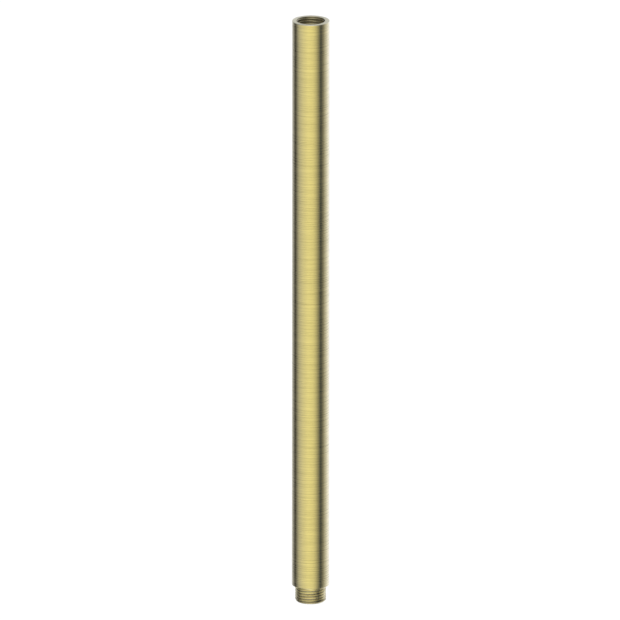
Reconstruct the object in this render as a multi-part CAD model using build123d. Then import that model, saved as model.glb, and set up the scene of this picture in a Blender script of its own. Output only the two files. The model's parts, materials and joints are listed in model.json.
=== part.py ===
from build123d import *
import os
from math import radians, tan

# Straight ceiling shower arm, turned from one length of heavy brass tube.
# The top end is tapped for the ceiling outlet and the bottom end is turned down
# to a threaded spigot for the shower head, with the waterway bored right through.
# Millimetres, +Z up along the waterway. The origin is the centre of the top rim,
# the face that meets the ceiling, so the whole arm hangs below z = 0.

INCH = 25.4

# Tube
tube_diameter = 25.4
overall_length = 408.0
waterway_diameter = 15.0

# G 1/2 pipe thread, parallel, rounded 55 degree form, right hand
thread_diameter = 20.955
threads_per_inch = 14
thread_depth_per_pitch = 0.640327

# Threaded ends
spigot_length = 11.5
socket_depth = 14.0
drill_point_angle = 118.0

# Edges
rim_round = 0.3
shoulder_round = 0.3
mouth_countersink = 0.45
outlet_chamfer = 0.4

# Worked out from the sizes above
thread_depth = thread_depth_per_pitch * INCH / threads_per_inch
tube_radius = tube_diameter / 2
waterway_radius = waterway_diameter / 2
spigot_radius = thread_diameter / 2
socket_radius = spigot_radius - thread_depth
end_z = -overall_length
shoulder_z = end_z + spigot_length
socket_floor_z = -socket_depth
drill_point_height = (socket_radius - waterway_radius) / tan(radians(drill_point_angle / 2))


def arm_section():
    """Half section of the tube wall, read down the outside and back up the waterway."""
    rim_inner = (socket_radius + mouth_countersink, 0)
    rim_outer = (tube_radius - rim_round, 0)
    tube_top = (tube_radius, -rim_round)
    tube_bottom = (tube_radius, shoulder_z + shoulder_round)
    shoulder_outer = (tube_radius - shoulder_round, shoulder_z)
    shoulder_inner = (spigot_radius, shoulder_z)
    spigot_bottom = (spigot_radius, end_z + thread_depth)
    seat_outer = (spigot_radius - thread_depth, end_z)
    seat_inner = (waterway_radius + outlet_chamfer, end_z)
    waterway_bottom = (waterway_radius, end_z + outlet_chamfer)
    waterway_top = (waterway_radius, socket_floor_z - drill_point_height)
    socket_bottom = (socket_radius, socket_floor_z)
    socket_top = (socket_radius, -mouth_countersink)
    outline = [
        Line(rim_inner, rim_outer),
        RadiusArc(rim_outer, tube_top, rim_round),
        Line(tube_top, tube_bottom),
        RadiusArc(tube_bottom, shoulder_outer, shoulder_round),
        Polyline(
            shoulder_outer,
            shoulder_inner,
            spigot_bottom,
            seat_outer,
            seat_inner,
            waterway_bottom,
            waterway_top,
            socket_bottom,
            socket_top,
            rim_inner,
        ),
    ]
    return make_face(Plane.XZ * Curve(outline))


def arm_tube():
    """The whole arm: the wall section turned about the waterway."""
    return revolve(arm_section(), axis=Axis.Z)


os.makedirs("parts", exist_ok=True)
export_step(arm_tube(), "parts/arm_tube.step")
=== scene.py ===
import json
import math

import bpy
import numpy as np
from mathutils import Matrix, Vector


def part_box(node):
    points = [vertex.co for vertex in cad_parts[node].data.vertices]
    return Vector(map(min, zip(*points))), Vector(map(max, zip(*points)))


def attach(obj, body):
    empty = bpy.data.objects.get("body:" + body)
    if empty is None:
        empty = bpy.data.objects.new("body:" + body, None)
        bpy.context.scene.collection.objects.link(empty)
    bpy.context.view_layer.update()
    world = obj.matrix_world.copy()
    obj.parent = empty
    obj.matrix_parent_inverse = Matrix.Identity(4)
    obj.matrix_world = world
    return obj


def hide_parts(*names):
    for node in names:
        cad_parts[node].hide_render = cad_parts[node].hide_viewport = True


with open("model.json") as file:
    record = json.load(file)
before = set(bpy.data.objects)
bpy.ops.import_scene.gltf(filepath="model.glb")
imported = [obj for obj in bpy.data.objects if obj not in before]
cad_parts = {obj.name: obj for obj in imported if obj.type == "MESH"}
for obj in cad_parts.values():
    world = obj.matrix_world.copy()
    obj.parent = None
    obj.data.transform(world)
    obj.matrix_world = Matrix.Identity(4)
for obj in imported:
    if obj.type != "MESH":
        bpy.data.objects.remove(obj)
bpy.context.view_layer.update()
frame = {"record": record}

# Dressed model of a straight ceiling shower arm in brushed aged brass.
# Metres, in the frame of the solid: the top rim is at z = 0 and the arm hangs down from it.

MM = 0.001

# Sizes taken from the frame
mounts = {mount["name"]: mount for mount in frame["record"]["mounts"]}
tube_low, tube_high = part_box("arm_tube")
tube_radius = tube_high.x
end_z = tube_low.z
spigot_radius = mounts["head_spigot"]["dims"]["r_mm"] * MM
socket_radius = mounts["ceiling_socket"]["dims"]["r_mm"] * MM

# Sizes repeated from the solid
waterway_radius = 7.5 * MM
spigot_length = 11.5 * MM
socket_depth = 14.0 * MM
drill_point_angle = math.radians(118)
rim_round = 0.3 * MM
shoulder_round = 0.3 * MM
mouth_countersink = 0.45 * MM
outlet_chamfer = 0.4 * MM

# Rounded 55 degree pipe thread, 14 to the inch, right hand
thread_pitch = 25.4 * MM / 14
flank_angle = math.radians(27.5)
crest_round = 0.137329 * thread_pitch
crest_trim = 0.1 * MM

# Where each thread starts round the axis, and how it ends
spigot_thread_turn = math.radians(-105)
spigot_neck = 0.8 * MM
spigot_runout = thread_pitch / 9
socket_thread_turn = math.radians(174)
socket_runout = 2 * thread_pitch

# Worked out from the sizes above
shoulder_z = end_z + spigot_length
thread_depth = spigot_radius - socket_radius
chamfer_z = end_z + thread_depth
drill_point_height = (socket_radius - waterway_radius) / math.tan(drill_point_angle / 2)

# Mesh fineness
columns = 192
arc_rows = 6
flank_rows = 4
root_rows = 10
wall_row = 10 * MM
thread_sliver = 0.01 * MM
sharp_angle = math.radians(24)
around = np.linspace(0, 2 * math.pi, columns, endpoint=False)


def thread_drop(along):
    """How far the thread's surface lies below its crest, at a distance along the axis from a crest."""
    away = np.abs((along + thread_pitch / 2) % thread_pitch - thread_pitch / 2)
    arc_end = crest_round * math.cos(flank_angle)
    arc_drop = crest_round * (1 - math.sin(flank_angle))
    to_root = thread_pitch / 2 - away
    crest = crest_round - np.sqrt(np.maximum(crest_round**2 - away**2, 0))
    flank = arc_drop + (away - arc_end) / math.tan(flank_angle)
    root = thread_depth - crest_round + np.sqrt(np.maximum(crest_round**2 - to_root**2, 0))
    drop = np.where(away < arc_end, crest, np.where(to_root < arc_end, root, flank))
    return np.maximum(drop - crest_trim, 0)


def thread_steps():
    """Places over one pitch, from a crest, where the thread's flat, flanks and root round need a row."""
    flat_end = math.sqrt(crest_round**2 - (crest_round - crest_trim) ** 2)
    arc_end = crest_round * math.cos(flank_angle)
    root_start = thread_pitch / 2 - arc_end
    root_end = thread_pitch - root_start
    flank = np.linspace(arc_end, root_start, flank_rows, endpoint=False)
    root = np.linspace(root_start, root_end, root_rows, endpoint=False)
    rise = thread_pitch - flank[::-1]
    return np.concatenate([[flat_end], flank, root, [root_end], rise, [thread_pitch - flat_end]])


def crest_heights(start_z, start_turn):
    """Height round the axis of a right-hand crest that passes start_z at start_turn."""
    return start_z + thread_pitch * (around - start_turn) / (2 * math.pi)


spigot_crest = crest_heights(shoulder_z, spigot_thread_turn)
socket_crest = crest_heights(0, socket_thread_turn)


def spigot_radii(z):
    """The male thread: its last groove runs out below the shoulder, and the chamfer cuts off its end."""
    turn = np.floor((z - spigot_crest) / thread_pitch)
    groove_z = spigot_crest + (turn + 0.5) * thread_pitch
    runout = np.clip((shoulder_z - spigot_neck - groove_z) / spigot_runout, 0, 1)
    chamfer = socket_radius + (z - end_z)
    return np.minimum(spigot_radius - thread_drop(z - spigot_crest) * runout, chamfer)


def socket_radii(z):
    """The female thread: it opens below the mouth's countersink and fades out above the drill point."""
    lead_in = np.clip(-z / mouth_countersink, 0, 1)
    runout = np.clip((z + socket_depth) / socket_runout, 0, 1)
    groove = thread_depth - thread_drop(z - socket_crest)
    countersink = socket_radius + mouth_countersink + z
    return np.maximum(socket_radius + groove * np.minimum(lead_in, runout), countersink)


def turned_point(radius, turn, z):
    """A point at a radius from the waterway's axis, an angle round it and a height."""
    return (radius * math.cos(turn), radius * math.sin(turn), z)


class Skin:
    """Points and faces of the arm's closed skin, built up along the outline of its wall."""

    def __init__(self):
        self.points = []
        self.faces = []

    def ring(self, radius, z):
        """A ring of points, one to a column; gives their numbers."""
        first = len(self.points)
        radii = np.broadcast_to(radius, columns)
        self.points += [turned_point(*place, z) for place in zip(radii, around)]
        return np.arange(first, first + columns)

    def add_faces(self, left, right):
        """Faces between two columns of point numbers, without repeated corners."""
        for face in zip(left[:-1], left[1:], right[1:], right[:-1]):
            corners = list(dict.fromkeys(int(corner) for corner in face))
            if len(corners) > 2:
                self.faces.append(corners)

    def wall(self, rings):
        """Plain turned surfaces from ring to ring."""
        stack = np.array(rings)
        for left, right in zip(stack.T, np.roll(stack, -1, axis=1).T):
            self.add_faces(left, right)

    def thread(self, lower, upper, crest, radii, downwards):
        """Threaded surface between two rings. Its rows follow the helix, so the turns are alike."""
        steps = thread_steps()
        low_z = self.points[lower[0]][2]
        high_z = self.points[upper[0]][2]
        first = math.floor((low_z - crest.max()) / thread_pitch) - 1
        last = math.ceil((high_z - crest.min()) / thread_pitch) + 1
        rows = [turn * thread_pitch + step for turn in range(first, last) for step in steps]
        grid = np.empty((len(rows), columns), int)
        for numbers, row in zip(grid, rows):
            z = crest + row
            radius = radii(z)
            for column, turn in enumerate(around):
                if z[column] < low_z + thread_sliver:
                    numbers[column] = lower[column]
                elif z[column] > high_z - thread_sliver:
                    numbers[column] = upper[column]
                else:
                    numbers[column] = len(self.points)
                    self.points.append(turned_point(radius[column], turn, z[column]))
        seam = np.concatenate([grid[len(steps):, 0], np.full(len(steps), upper[0])])
        following = np.column_stack([grid[:, 1:], seam])
        for left, right in zip(grid.T, following.T):
            if downwards:
                self.add_faces(left[::-1], right[::-1])
            else:
                self.add_faces(left, right)


def levels(start, end, step):
    """Evenly spaced heights from start to end, both included."""
    return np.linspace(start, end, max(2, round(abs(end - start) / step) + 1))


def outside_rings(skin):
    """Rings down the outside: over the rim's round, down the tube and round the shoulder's edge."""
    quarter = np.linspace(0, math.pi / 2, arc_rows + 1)
    rings = []
    for angle in quarter:
        inset = rim_round * (1 - math.sin(angle))
        rings.append(skin.ring(tube_radius - inset, rim_round * (math.cos(angle) - 1)))
    for z in levels(-rim_round, shoulder_z + shoulder_round, wall_row)[1:]:
        rings.append(skin.ring(tube_radius, z))
    for angle in quarter[1:]:
        inset = shoulder_round * (1 - math.cos(angle))
        rings.append(skin.ring(tube_radius - inset, shoulder_z + shoulder_round * (1 - math.sin(angle))))
    return rings


def waterway_rings(skin):
    """Rings up the inside: over the outlet's chamfer and up the bore to the drill point."""
    rings = [skin.ring(waterway_radius + outlet_chamfer, end_z)]
    for z in levels(end_z + outlet_chamfer, -socket_depth - drill_point_height, wall_row):
        rings.append(skin.ring(waterway_radius, z))
    return rings


def turned_arm():
    """The whole arm: the outside, the spigot's thread, the waterway and the socket's thread."""
    skin = Skin()
    outside = outside_rings(skin)
    spigot_top = skin.ring(spigot_radii(shoulder_z), shoulder_z)
    spigot_end = skin.ring(socket_radius, end_z)
    waterway = waterway_rings(skin)
    socket_floor = skin.ring(socket_radius, -socket_depth)
    mouth = skin.ring(socket_radii(0), 0)
    skin.wall([mouth, *outside, spigot_top])
    skin.thread(spigot_end, spigot_top, spigot_crest, spigot_radii, downwards=True)
    skin.wall([spigot_end, *waterway, socket_floor])
    skin.thread(socket_floor, mouth, socket_crest, socket_radii, downwards=False)
    mesh = bpy.data.meshes.new("turned_arm")
    mesh.from_pydata(skin.points, [], skin.faces)
    mesh.shade_smooth()
    mesh.set_sharp_from_angle(angle=sharp_angle)
    arm = bpy.data.objects.new("turned_arm", mesh)
    bpy.context.scene.collection.objects.link(arm)
    return arm


class Wire:
    """A socket of a shader tree. Arithmetic on wires adds Math nodes, and add() any other node."""

    def __init__(self, tree, socket=None):
        self.tree = tree
        self.socket = socket

    def add(self, kind, settings=None, inputs=None, output=0):
        """A new node with its settings, then the values or links of its sockets; gives one output."""
        node = self.tree.nodes.new("ShaderNode" + kind)
        for name, value in (settings or {}).items():
            if name == "stops":
                self.set_stops(node.color_ramp, value)
            else:
                setattr(node, name, value)
        for name, value in (inputs or {}).items():
            socket = self.pick(node.inputs, name)
            if isinstance(value, Wire):
                self.tree.links.new(value.socket, socket)
            else:
                socket.default_value = value
        return Wire(self.tree, self.pick(node.outputs, output) if node.outputs else None)

    @staticmethod
    def pick(sockets, name):
        """A socket by its number, or by its name among those in use."""
        if isinstance(name, int):
            return sockets[name]
        return next(socket for socket in sockets if socket.enabled and socket.name == name)

    @staticmethod
    def set_stops(ramp, stops):
        """Smooth stops of a ramp, each a place from 0 to 1 with a grey level or a colour."""
        ramp.interpolation = "EASE"
        while len(ramp.elements) < len(stops):
            ramp.elements.new(1)
        for element, (place, level) in zip(ramp.elements, stops):
            element.position = place
            element.color = (*level, 1) if isinstance(level, tuple) else (level, level, level, 1)

    def out(self, name):
        """Another output of the same node."""
        return Wire(self.tree, self.pick(self.socket.node.outputs, name))

    def maths(self, operation, first, second=0.0):
        return self.add("Math", {"operation": operation}, {0: first, 1: second})

    def above(self, limit):
        return self.maths("GREATER_THAN", self, limit)

    def below(self, limit):
        return self.maths("LESS_THAN", self, limit)

    def blend(self, share, first, second):
        """One colour turning into another as share goes from 0 to 1."""
        inputs = {"Factor": share, "A": first, "B": second}
        return self.add("Mix", {"data_type": "RGBA"}, inputs, "Result")

    def tint(self, colour, strength):
        return self.add("VectorMath", {"operation": "SCALE"}, {0: colour, "Scale": strength})

    def __add__(self, other):
        return self.maths("ADD", self, other)

    def __radd__(self, other):
        return self.maths("ADD", other, self)

    def __sub__(self, other):
        return self.maths("SUBTRACT", self, other)

    def __rsub__(self, other):
        return self.maths("SUBTRACT", other, self)

    def __mul__(self, other):
        return self.maths("MULTIPLY", self, other)

    def __rmul__(self, other):
        return self.maths("MULTIPLY", other, self)

    def __truediv__(self, other):
        return self.maths("DIVIDE", self, other)

    def __rtruediv__(self, other):
        return self.maths("DIVIDE", other, self)


def empty_tree(owner):
    """The node tree of a material or a world, with nothing in it yet."""
    owner.use_nodes = True
    owner.node_tree.nodes.clear()
    return Wire(owner.node_tree)


def ease(value, start, end):
    """0 before start, 1 past end, and a smooth rise between them."""
    limits = {"Value": value, "From Min": start, "From Max": end}
    return value.add("MapRange", {"interpolation_type": "SMOOTHSTEP"}, limits)


# Brass on each part of the arm, with painted light and painted shade among it as said at each
tube_brass = (0.725, 0.61, 0.193, 1)
# Paler cut brass on the spigot, also made brighter as painted light for the stronger light on it
spigot_lightened_brass = (0.86, 0.735, 0.27, 1)
# Painted light: paler, brighter brass on the thread flanks, standing in for light they miss
flank_painted_light = (0.98, 0.87, 0.46, 1)
rim_brass = (0.94, 0.86, 0.45, 1)
# Painted highlight on the upper part of the rim's outer round
highlight_brass = (1, 0.95, 0.7, 1)
# Paler raw brass of the bore, also made paler as painted light inside the dim bore
bore_lightened_brass = (0.74, 0.67, 0.4, 1)
# Patina in the thread roots and the bore, partly painted shade of those hollows
root_patina_and_shade = (0.25, 0.22, 0.145, 1)

# Sheen of the lacquer at low angles, and how much of it shows
tube_sheen = (0.93, 0.93, 0.91, 1)
rim_sheen = (1, 1, 0.9, 1)
# Sheen in the thread roots, dimmed as painted shade
root_shaded_sheen = (0.27, 0.255, 0.21, 1)
tube_haze = 0.9
spigot_haze_loss = 0.1

# Brush marks, painted shade towards the spigot's end, and the painted highlight on the rim's round
ring_share = 0.8
arc_share = 0.4
hair_share = 0.2
brush_depth = 0.02 * MM
brush_tone = 0.34
brush_roughness = 0.08
tube_roughness = 0.31
spigot_roughness = 0.12
# Painted shade towards the spigot's end: how far up it reaches and how much darker it gets
end_shade_length = 5 * MM
end_shade_loss = 0.3
# Share of the rim's round over which the painted highlight fades in, from its bottom
highlight_fade = 0.4

# Depth into the thread, as a share of it, where the flanks and the roots start and are full
flank_from = 0.05
flank_full = 0.25
root_from = 0.66
root_full = 0.92
bore_root_loss = 0.5


def brush_lines(place, along, fineness, spread, seed):
    """Streaks round the tube, about -1 to 1: fine along the section and drawn out round the axis."""
    noise_middle = 0.5
    noise_gain = 4
    across = place.add("VectorMath", {"operation": "MULTIPLY"}, {0: place, 1: (spread, spread, 0)})
    lines = place.add("CombineXYZ", None, {"X": seed, "Z": along * fineness})
    spot = place.add("VectorMath", {"operation": "ADD"}, {0: across, 1: lines})
    noise = place.add("TexNoise", None, {"Vector": spot, "Scale": 1.0, "Detail": 1.0, "Roughness": 0.5})
    return (noise - noise_middle) * noise_gain


def brush_marks(place, along):
    """All the streaks: rings right round the tube, arcs part of the way and short hairs."""
    rings = brush_lines(place, along, fineness=1800, spread=0, seed=3)
    arcs = brush_lines(place, along, fineness=2100, spread=50, seed=17)
    hairs = brush_lines(place, along, fineness=5000, spread=260, seed=41)
    return rings * ring_share + arcs * arc_share + hairs * hair_share


def wall_masks(radius, z):
    """Depth into either thread, from 0 at its crests to 1 at its roots, and a mask of the bored inside."""
    sliver = 0.02 * MM
    chamfer = z - end_z + socket_radius
    crest = z.maths("MINIMUM", chamfer, spigot_radius)
    on_spigot = z.below(shoulder_z - sliver) * radius.above(socket_radius - sliver)
    in_socket = z.below(-sliver) * z.above(-socket_depth) * radius.below(spigot_radius + sliver)
    depth = on_spigot * (crest - radius) + in_socket * (radius - socket_radius)
    inside = z.maths("MAXIMUM", in_socket, radius.below(waterway_radius + sliver))
    return depth / thread_depth, inside


def rim_masks(z):
    """The flat rim with its round, and the upper part of the round alone, which gets a painted highlight.
    """
    flat_sliver = 0.02 * rim_round
    rim = ease(z, -rim_round, 0)
    highlight_mask = ease(z, -rim_round, (highlight_fade - 1) * rim_round) * z.below(-flat_sliver)
    return rim, highlight_mask


def brushed_brass():
    """Aged brass under thin lacquer, brushed round the tube, and dark in the thread roots and the bore
    with patina and painted shade.
    """
    material = bpy.data.materials.new("brushed_brass")
    tree = empty_tree(material)
    place = tree.add("TexCoord", output="Object")
    split = tree.add("SeparateXYZ", None, {"Vector": place})
    x, y, z = split.out("X"), split.out("Y"), split.out("Z")
    radius = tree.maths("SQRT", x * x + y * y)
    streak = brush_marks(place, z + radius)
    spigot = z.below(shoulder_z)
    rim, highlight_mask = rim_masks(z)
    depth, inside = wall_masks(radius, z)
    flanks = ease(depth, flank_from, flank_full)
    # Thread roots: patina and painted shade, less of it down the bore
    roots = ease(depth, root_from, root_full) * (1 - inside * bore_root_loss)
    # Painted shade: darker towards the spigot's end
    end_shade = ease(z, end_z + end_shade_length, chamfer_z) * z.above(chamfer_z)
    tone = (1 + streak * brush_tone) * (1 - end_shade * end_shade_loss)
    # The spigot's cut brass, brightened as painted light
    brass = tree.blend(spigot, tube_brass, spigot_lightened_brass)
    # Painted light on the thread flanks
    brass = tree.blend(flanks, brass, flank_painted_light)
    brass = tree.blend(rim, brass, rim_brass)
    # Painted highlight on the rim's outer round
    brass = tree.blend(highlight_mask, brass, highlight_brass)
    # Raw brass of the bore, lightened as painted light
    brass = tree.blend(inside, brass, bore_lightened_brass)
    # Patina and painted shade in the thread roots
    brass = tree.blend(roots, brass, root_patina_and_shade)
    sheen = tree.blend(rim, tube_sheen, rim_sheen)
    sheen = tree.blend(roots, sheen, root_shaded_sheen)
    turned = {
        "Metallic": 1.0,
        "Roughness": tube_roughness + streak * brush_roughness + spigot * spigot_roughness,
        "Anisotropic": 0.7,
        "Anisotropic Rotation": 0.25,
        "Normal": tree.add("Bump", None, {"Strength": 0.2, "Distance": brush_depth, "Height": streak}),
    }
    metal = tree.add("BsdfPrincipled", None, {"Base Color": tree.tint(brass, tone), **turned})
    gloss = tree.add("BsdfPrincipled", None, {"Base Color": tree.tint(sheen, tone), **turned})
    facing = tree.add("LayerWeight", None, {"Blend": 0.5}, output="Facing")
    haze = facing * (tube_haze - spigot * spigot_haze_loss)
    finish = tree.add("MixShader", None, {0: haze, 1: metal, 2: gloss})
    tree.add("OutputMaterial", None, {"Surface": finish})
    return material


WHITE = (1, 1, 1, 1)

# Studio light levels round the arm, by bearing in degrees from the camera, right hand positive
studio_levels = (
    (-180, 0.84),
    (-150, 0.64),
    (-128, 0.25),
    (-108, 0.0),
    (-92, 0.31),
    (-72, 0.68),
    (-42, 0.94),
    (-15, 1.1),
    (12, 1.01),
    (28, 0.79),
    (45, 0.41),
    (63, (0.01, 0.03, 0.09)),
    (80, 0.21),
    (102, 0.61),
    (128, 0.97),
    (150, 1.08),
    (180, 0.84),
)

# Share of that light at each slope in degrees, from straight down to straight up
studio_slopes = (
    (-90, 0.3),
    (-70, 0.6),
    (-46, 0.94),
    (-20, 0.99),
    (-2, 1.05),
    (14, 0.66),
    (40, 0.55),
    (60, 0.45),
    (90, 0.45),
)

# Soft box above the camera: its slope, how far from its middle it is full and ends, and its light
box_slope = math.radians(48)
box_full = math.radians(12)
box_end = math.radians(42)
box_light = 0.6


def studio_light(tree):
    """Soft light round the arm with two dark cards, and the soft box."""
    way = tree.add("TexCoord", output="Generated")
    split = tree.add("SeparateXYZ", None, {"Vector": way})
    bearing = tree.maths("ARCTAN2", split.out("X"), split.out("Y") * -1)
    slope = tree.maths("ARCSINE", split.out("Z"))
    bearing_stops = [((degrees + 180) / 360, level) for degrees, level in studio_levels]
    slope_stops = [((degrees + 90) / 180, share) for degrees, share in studio_slopes]
    level = tree.add("ValToRGB", {"stops": bearing_stops}, {"Fac": bearing / (2 * math.pi) + 0.5})
    share = tree.add("ValToRGB", {"stops": slope_stops}, {"Fac": slope / math.pi + 0.5})
    box_way = (0, -math.cos(box_slope), math.sin(box_slope))
    near_box = tree.add("VectorMath", {"operation": "DOT_PRODUCT"}, {0: way, 1: box_way}, "Value")
    box = ease(near_box, math.cos(box_end), math.cos(box_full)) * box_light
    round_light = tree.add("Background", None, {"Color": level, "Strength": share})
    box_shine = tree.add("Background", None, {"Color": WHITE, "Strength": box})
    return tree.add("AddShader", None, {0: round_light, 1: box_shine})


def studio_world():
    """White surroundings for the camera, and the studio's light for everything else."""
    world = bpy.data.worlds.new("studio")
    bpy.context.scene.world = world
    tree = empty_tree(world)
    camera = tree.add("LightPath", output="Is Camera Ray")
    white = tree.add("Background", None, {"Color": WHITE, "Strength": 1.0})
    shown = tree.add("MixShader", None, {0: camera, 1: studio_light(tree), 2: white})
    tree.add("OutputWorld", None, {"Surface": shown})


def pale_paint():
    """Pale floor paint, lifted to white for the camera alone and clear from below."""
    material = bpy.data.materials.new("pale_floor")
    tree = empty_tree(material)
    camera = tree.add("LightPath", output="Is Camera Ray")
    paint = tree.add("BsdfDiffuse", None, {"Color": (0.8, 0.8, 0.8, 1)})
    lift = tree.add("Emission", None, {"Color": WHITE, "Strength": 0.69})
    lifted = tree.add("AddShader", None, {0: paint, 1: lift})
    top = tree.add("MixShader", None, {0: camera, 1: paint, 2: lifted})
    from_below = tree.add("NewGeometry", output="Backfacing")
    clear = tree.add("BsdfTransparent")
    surface = tree.add("MixShader", None, {0: from_below, 1: top, 2: clear})
    tree.add("OutputMaterial", None, {"Surface": surface})
    return material


def pale_floor():
    """A plain round floor below the arm, left out of the metal's reflections."""
    drop = 60 * MM
    floor_radius = 4
    floor_sides = 96
    middle = (0, 0, end_z - drop)
    bpy.ops.mesh.primitive_circle_add(
        vertices=floor_sides, radius=floor_radius, fill_type="NGON", location=middle
    )
    floor = bpy.context.object
    floor.name = "floor"
    floor.visible_glossy = False
    floor.data.materials.append(pale_paint())


def catalogue_camera():
    """A camera above the arm at the picture's slope, without perspective, as if from far away."""
    picture_pixels = 620
    tube_pixels = 37.6
    axis_pixels = 0.75
    pixel = 2 * tube_radius / tube_pixels
    distance = 2
    elevation = math.radians(16.2)
    lean = math.radians(0.036)
    aim_rise = 0.31 * MM
    camera = bpy.data.cameras.new("catalogue_camera")
    camera.type = "ORTHO"
    camera.ortho_scale = picture_pixels * pixel
    view = bpy.data.objects.new("catalogue_camera", camera)
    bpy.context.scene.collection.objects.link(view)
    back = Vector((0, -math.cos(elevation), math.sin(elevation)))
    aim = Vector((-axis_pixels * pixel, 0, end_z / 2 + aim_rise))
    view.location = aim + back * distance
    view.rotation_euler = (-back).to_track_quat("-Z", "Y").to_euler()
    view.rotation_euler.rotate_axis("Z", lean)
    bpy.context.scene.camera = view


arm = turned_arm()
arm.data.materials.append(brushed_brass())
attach(arm, "root")
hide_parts("arm_tube")
studio_world()
pale_floor()
catalogue_camera()
bpy.context.scene.view_settings.view_transform = "Standard"
